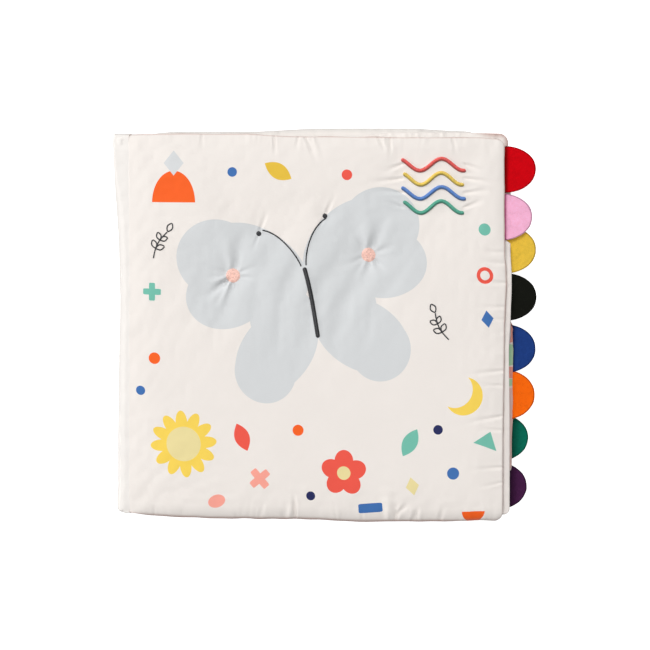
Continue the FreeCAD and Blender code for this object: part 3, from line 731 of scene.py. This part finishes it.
folds = [(-90, 152, -88, 15, 1.4, 1.2), (-33, 151, -88, 20, 1.3, 1.9), (-9, 151, -66, 26, 1.9, 1.5),
         (-14, 151, -98, 14, 1.5, 1.1), (-3, 151, -72, 24, 2.2, -0.9), (48, 150, -60, 15, 1.3, 1.6),
         (58, 150, -90, 17, 1.3, 2.0), (53, 150, -82, 15, 1.8, -0.8), (107, 150, -78, 16, 1.5, 1.3),
         (-24.5, -154, 100, 13, 2.2, 3.6), (-21, -154, 86, 20, 2.1, -2.4), (-15.7, -154, 94, 26, 1.5, 4.6),
         (-46, -152, 70, 18, 1.6, 1.2), (-62, -152, 100, 14, 1.6, 1.1), (37, -154, 92, 15, 1.4, 1.7),
         (63.6, -155, 93, 21, 1.8, 5.0), (65, -143, 46, 13, 2.2, 2.0), (57, -151, 91, 36, 3.8, -1.7),
         (75, -151, 62, 17, 2.4, 2.2), (80, -155, 96, 15, 1.5, 3.4), (96, -155, 75, 20, 1.9, 2.4),
         (110, -153, 60, 14, 1.8, 1.0), (-128, -149, 80, 10, 1.4, 0.8), (-105, -151, 95, 10, 1.4, 0.9),
         (148, 61, 181, 30, 2.6, 0.8), (148, 52, 177, 26, 2.4, 0.8), (148, 36.5, 178, 38, 2.4, 0.9),
         (148, 18, 183, 30, 2.2, 0.8), (148, 8, 180, 24, 2.2, 0.6),
         (147, -32, 187, 42, 2.4, 1.0), (147, -44, 178, 26, 1.7, 0.9), (146, -68, 190, 44, 2.2, 1.0),
         (146, -79, 176, 24, 1.6, 0.9), (146, -108, 184, 34, 2.0, 0.9), (146, -120, 192, 22, 1.6, 0.8)]
DISC_FOLDS = (((219, 24, 3.0, 3.4), (247, 27, 2.6, -2.2), (272, 12, 1.7, 1.0), (196, 22, 2.4, -1.2),
               (352, 14, 1.8, 1.2), (24, 20, 2.4, 0.7), (76, 40, 4.6, 1.3), (102, 40, 5.0, -1.2),
               (160, 22, 2.6, 0.8)),
              ((318, 14, 2.3, 1.9), (268, 11, 1.8, 1.2), (292, 12, 1.7, -1.2), (245, 20, 2.6, -0.8),
               (205, 22, 3.0, 0.8), (66, 44, 5.4, 1.4), (94, 42, 5.2, -1.2), (122, 30, 3.4, 0.8),
               (20, 24, 3.0, 0.7)))
for (px, py, radius), marks in zip(DISCS + DOTS, (*DISC_FOLDS, ((70, 22, 2.0, 1.2), (250, 14, 1.6, 1.0)),
                                                 ((65, 20, 2.0, 1.1), (240, 14, 1.6, 1.0)))):
    for heading, length, width, depth in marks:
        a = math.radians(heading)
        folds.append((px + radius * math.cos(a), py + radius * math.sin(a), heading, length, width, depth))
for i in range(4):
    for end in (-1, 1):
        folds.append((WAVES_X + end * (WAVE_LENGTH / 2), WAVES_Y + (i - 1.5) * WAVE_GAP,
                      90 - end * (90 + 14 * (i - 1.5)), 18 + 5 * ((i * 7) % 3), 2.1, 1.6))
detail = creases(x, y, folds) + 0.1 * crown * ripple(x, y, 18, 50, 91)
for away, (_, _, radius) in zip(from_stitch, DISCS + DOTS):
    detail *= 1 - 0.9 * np.exp(-(away / radius / 1.05) ** 6)
detail += gathers(x, y, far, (0.1, 0.35, 0.8, 0.5), 92, 4, 15, 5.5) - 0.2 * np.exp(-near / 5)
below = high[2] - 0.1 - top[..., 2] - detail * rise
top[..., 2] = high[2] - 0.1 - 0.3 * np.logaddexp(0, below / 0.3)
top[outline] = np.stack([plan_x, plan_y, seam], -1)[outline]
inside = seam - (edge + (seam - edge - low[2] - 0.3) * (1 - np.exp(-near / 11))) * rise
inside += gathers(x, y, far, (0.1, 0.5, 0.5, 0.5), 96) * rise
# Painted shade in the cover's seams: the seam values darken the cloth towards the dusty pink shade colour,
# more at the fore-edge and along the tail, less at the tail's fore-edge end.
painted_edge_shade = np.exp(-(near / (0.8 + 0.7 * tail_share * np.exp(-far[2] / 4))) ** 2)
painted_edge_shade *= 0.8 + 0.2 * between(x, 134, 144)
painted_edge_shade *= 1 + (0.8 * between(x, -140, -120) - 1.4 * between(x, 96, 128)) * np.exp(-far[2] / 4)
front_cover = pad("front_cover_pad", top, np.stack([plan_x, plan_y, np.maximum(inside, low[2] + 0.1)], -1),
                  flat, painted_edge_shade, printed_cotton)
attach(front_cover, "front_cover")
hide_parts("front_cover")

# ---------------------------------------------------------------------------------------------------------
# The front hinge: the spine's paler cotton runs on from the spine to the front cover as a single layer,
# creased where it bends.
HINGE_X, HINGE_HALF = -148.0, 0.45
column = np.searchsorted(cover_xs, HINGE_X + 1.6)
y, top_z = top[:, column, 1][:, None], top[:, column, 2][:, None]
ends = np.minimum(y - y[0], y[-1] - y)
turned_in = 3.4 * (1 - rolled(y - y[0], 3.4)) + 1.4 * (1 - rolled(y[-1] - y, 1.6))
outer = spine_side(y) + turned_in
around = 7.2 - 4.8 * between(y, 84, 132) - turned_in
run = np.linspace(0, 1, 41)[None, :]
quarter = np.clip(run / 0.6, 0, 1) * np.pi / 2
x = outer + around * (1 - np.cos(quarter)) + np.clip(run / 0.6 - 1, 0, 1) * (
    HINGE_X + 2.4 - outer - around) / (1 / 0.6 - 1)
z = top_z + 0.05 - 8.2 * (1 - np.sin(quarter)) - 0.05 * np.exp(-((x - HINGE_X) / 1.5) ** 2)
z = z + 0.1 * ripple(x, y + 0 * x, 8, 30, 98) * np.sin(np.pi * run) - 0.09 * np.maximum(HINGE_X + 2.4 - x, 0)
skin = np.stack([x, y + 0 * x, z], -1)
out = np.cross(np.gradient(skin, axis=1), np.gradient(skin, axis=0))
out /= np.linalg.norm(out, axis=-1, keepdims=True) + 1e-12
reach_in = np.cumsum(np.r_[0, np.hypot(np.diff(x[60]), np.diff(z[60]))])[None, :]
rise = rolled(reach_in, 0.6) * rolled(reach_in[:, -1:] - reach_in, 2.2) * rolled(ends, 0.45)
half = HINGE_HALF * rise[..., None]
flat = np.stack([x + 3000, y + 0 * x], -1)
# Painted shade in the hinge cloth: grey darkening where it rolls down over the spine's side, and at its tail
# end.
painted_edge_shade = 0.58 * np.exp(-(run / 0.4) ** 2) + 0.2 * np.exp(-(y - y[0]) ** 2)
hinge = pad("front_hinge_cloth", skin - (HINGE_HALF - half) * out, skin - (HINGE_HALF + half) * out, flat,
            painted_edge_shade, hinge_cotton)
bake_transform(hinge)

# ---------------------------------------------------------------------------------------------------------
# The embroidery: padded satin stitch for the wavy lines and the butterfly's body, backstitch in black for
# its feelers and the sprigs, and round tufts of coral and black, all worked through the front cover.
slope_y, slope_x = np.gradient(top, axis=(0, 1))
cover_normal = np.cross(slope_x, slope_y)
cover_normal /= np.linalg.norm(cover_normal, axis=-1, keepdims=True) + 1e-12


def on_cover(x, y, lift):
    """Points lifted off the front cover's cloth at flat places x, y, by interpolating between its grid's four
    nearest points and normals."""
    column = np.clip(np.searchsorted(cover_xs, x) - 1, 0, len(cover_xs) - 2)
    row = np.clip(np.searchsorted(cover_ys, y) - 1, 0, len(cover_ys) - 2)
    u = ((x - cover_xs[column]) / (cover_xs[column + 1] - cover_xs[column]))[..., None]
    v = ((y - cover_ys[row]) / (cover_ys[row + 1] - cover_ys[row]))[..., None]
    point, normal = (
        (g[row, column] * (1 - u) + g[row, column + 1] * u) * (1 - v)
        + (g[row + 1, column] * (1 - u) + g[row + 1, column + 1] * u) * v for g in (top, cover_normal))
    return point + normal * lift[..., None]


def thread(name, colour, light=0.25):
    """Embroidery thread: fine strands in tone and bump, the gloss of mercerised cotton, and painted light and
    shade across the thread from the mesh's seam values.
    """
    material, tree, shader = new_material(name)
    place = node(tree, "UVMap", {"uv_map": "flat_cloth"}).outputs[0]
    lie = node(tree, "Mapping", Vector=place, Scale=(1, 0.3, 1)).outputs[0]
    strands = node(tree, "TexNoise", Vector=lie, Scale=2400, Detail=2, Distortion=0.3)
    patch = node(tree, "TexNoise", Vector=place, Scale=700, Detail=2)
    tone = sum_of(tree, "MULTIPLY_ADD", strands.outputs["Fac"], light * 2.2,
                  sum_of(tree, "MULTIPLY_ADD", patch.outputs["Fac"], light, 1 - light * 1.6))
    # Painted light and shade: the seam values scale the tone from 1.14 down to 0.42.
    tone = sum_of(tree, "MULTIPLY", tone, sum_of(tree, "MULTIPLY_ADD", painted(tree, "seam"), -0.72, 1.14))
    surface(tree, shader, colour[:3], tone, strands.outputs["Fac"], 0.6, 0.0003, Roughness=0.42,
            Specular_IOR_Level=0.5, Sheen_Weight=0.15)
    return material


def sew_shut(piece, ends=()):
    """Adds the faces given as ends to a worked piece, merges its doubles and turns its faces outwards."""
    closed = bmesh.new()
    closed.from_mesh(piece.data)
    closed.verts.ensure_lookup_table()
    for corners in ends:
        closed.faces.new([closed.verts[i] for i in corners])
    bmesh.ops.remove_doubles(closed, verts=closed.verts, dist=1e-7)
    bmesh.ops.recalc_face_normals(closed, faces=closed.faces)
    closed.to_mesh(piece.data)
    closed.free()


def worked_line(name, paths, width, lift, pitch, material):
    """Stitching along paths of flat points: at each step along a path the section is an ellipse that sits on
    the cloth, with a hump for each stitch of that pitch, and it closes to a point at both ends."""
    points, faces, flats, painted_side_shade, used = [], [], [], [], 0
    for path in paths:
        path = np.asarray(path, float)
        run = np.r_[0, np.cumsum(np.hypot(*np.diff(path, axis=0).T))]
        step = np.linspace(0, run[-1], max(12, int(run[-1] / (pitch / 4))) + 1)
        px, py = np.interp(step, run, path[:, 0]), np.interp(step, run, path[:, 1])
        tx, ty = np.gradient(px), np.gradient(py)
        size = np.hypot(tx, ty) + 1e-12
        end = np.minimum(step, run[-1] - step)
        taper = np.sqrt(np.clip(1 - (1 - np.minimum(end / (width * 0.5), 1)) ** 2, 0, 1))
        hump = 1 - 0.1 * np.abs(np.cos(np.pi * step / pitch)) ** 3
        around = np.linspace(0, 2 * np.pi, 13)[:-1]
        aside = np.cos(around) * (width / 2 * taper * hump)[:, None]
        up = np.sin(around) * (lift * taper * hump)[:, None]
        up = np.where(up < 0, up * 0.35, up)
        ring = on_cover(px[:, None] - aside * (ty / size)[:, None],
                        py[:, None] + aside * (tx / size)[:, None], up)
        index = used + np.arange(len(step) * 12).reshape(-1, 12)
        faces.append(quads(np.c_[index, index[:, :1]]))
        points.append(ring.reshape(-1, 3))
        across = np.abs(np.sin(around / 2)) + 0 * up
        flats.append(np.stack([step[:, None] + 0 * up, width * across], -1).reshape(-1, 2))
        # Painted light and shade across the line, carried as seam values: lightest at 0.4 of the way across,
        # darkest at the far side.
        painted_side_shade.append((np.abs(across - 0.4) / 0.6).ravel() ** 2)
        used += ring.size // 3
    piece = new_piece(name, np.concatenate(points), np.concatenate(faces), material, np.concatenate(flats),
                      seam=np.concatenate(painted_side_shade))
    sew_shut(piece)
    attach(piece, "front_cover")


SATIN = {"red": dye(226, 84, 78), "yellow": dye(232, 200, 84), "blue": dye(84, 130, 200),
         "green": dye(76, 166, 140)}
for number, (colour, ink) in enumerate(SATIN.items()):
    t = np.linspace(-0.5, 0.5, 160)
    length = WAVE_LENGTH - 3 * (number % 2)
    line = np.stack([WAVES_X + length * t,
                     WAVES_Y + (1.5 - number) * WAVE_GAP + 4.6 * np.sin(t * 2 * np.pi * 1.5 + 0.4)], -1)
    worked_line(f"satin_wave_{colour}", [line], 3.3, 1.9, 0.8, thread(f"satin_{colour}", ink, 0.4))

black_thread = thread("black_thread", dye(34, 34, 38), 0.5)
t = np.linspace(0, 1, 60)
body = [on_butterfly(0.8 * np.sin(3 * s), -26 + 56 * s) for s in t]
worked_line("butterfly_body", [body], 3.6, 1.3, 0.8, black_thread)
feelers = [[on_butterfly(side * (2 + 24 * s ** 1.4), 31 + 34 * np.sin(s * 1.35)) for s in t]
           for side in (-1, 1)]
worked_line("butterfly_feelers", feelers, 1.15, 0.55, 2.2, black_thread)


def sprig(x, y, heading, length):
    """A stem with five small pointed leaves: each leaf is two arcs, half = 0.28 L sin(pi s), that meet at its
    tip."""
    a = math.radians(heading)
    s = np.linspace(0, 1, 40)
    bend = 0.10 * length * np.sin(np.pi * s)
    stem = np.stack([x + length * s * math.cos(a) - bend * math.sin(a),
                     y + length * s * math.sin(a) + bend * math.cos(a)], -1)
    lines = [stem]
    for share, lean, size in ((0.35, 48, 0.30), (0.35, -48, 0.30), (0.66, 44, 0.27), (0.66, -44, 0.27),
                              (1.0, 0, 0.32)):
        base, b = stem[int(share * 39)], a + math.radians(lean)
        for side in (-1, 1):
            half = side * 0.28 * size * length * np.sin(np.pi * s)
            lines.append(np.stack([base[0] + size * length * s * math.cos(b) - half * math.sin(b),
                                   base[1] + size * length * s * math.sin(b) + half * math.cos(b)], -1))
    return lines


worked_line("stitched_sprigs", sprig(-128, 52, 62, 24) + sprig(104, -8, 118, 24), 1.1, 0.5, 2.0, black_thread)


def tuft(name, x0, y0, radius, lift, swirl, material):
    """A round of embroidery: a low dome, lift * (1 - r^4), whose stitches run in arms that swirl with r."""
    r, a = np.meshgrid(np.linspace(0, 1, 25), np.linspace(0, 2 * np.pi, 73)[:-1])
    arms = 0.5 + 0.25 * np.sin(swirl * a + 9 * r + 1.2 * np.sin(3 * a)) + 0.25 * np.sin(r * 17 + 5 * a)
    up = lift * (1 - r ** 4) * (0.75 + 0.25 * arms) - 0.25 * r ** 8
    edge = 1 + 0.03 * np.sin(23 * a) * r
    points = on_cover(x0 + radius * r * edge * np.cos(a), y0 + radius * r * edge * np.sin(a), up)
    base = on_cover(*(np.array([v]) for v in (x0, y0, -0.4)))
    index = np.arange(r.size).reshape(r.shape)
    faces = quads(np.r_[index, index[:1]])
    under = np.stack([np.roll(index[:, -1], -1), np.full(len(index), r.size), index[:, -1]], -1)
    flat = np.stack([x0 + radius * r * np.cos(a), y0 + radius * r * np.sin(a)], -1).reshape(-1, 2)
    piece = new_piece(name, np.r_[points.reshape(-1, 3), base], faces, material, np.r_[flat, [(x0, y0)]])
    sew_shut(piece, under.tolist())
    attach(piece, "front_cover")


coral_thread = thread("coral_thread", dye(232, 186, 172), 0.6)
for number, place in enumerate(DISCS):
    tuft(f"coral_tuft_{number + 1}", *place, 0.9, 9, coral_thread)
for number, place in enumerate(DOTS):
    tuft(f"black_tuft_{number + 1}", *place, 0.8, 5, black_thread)
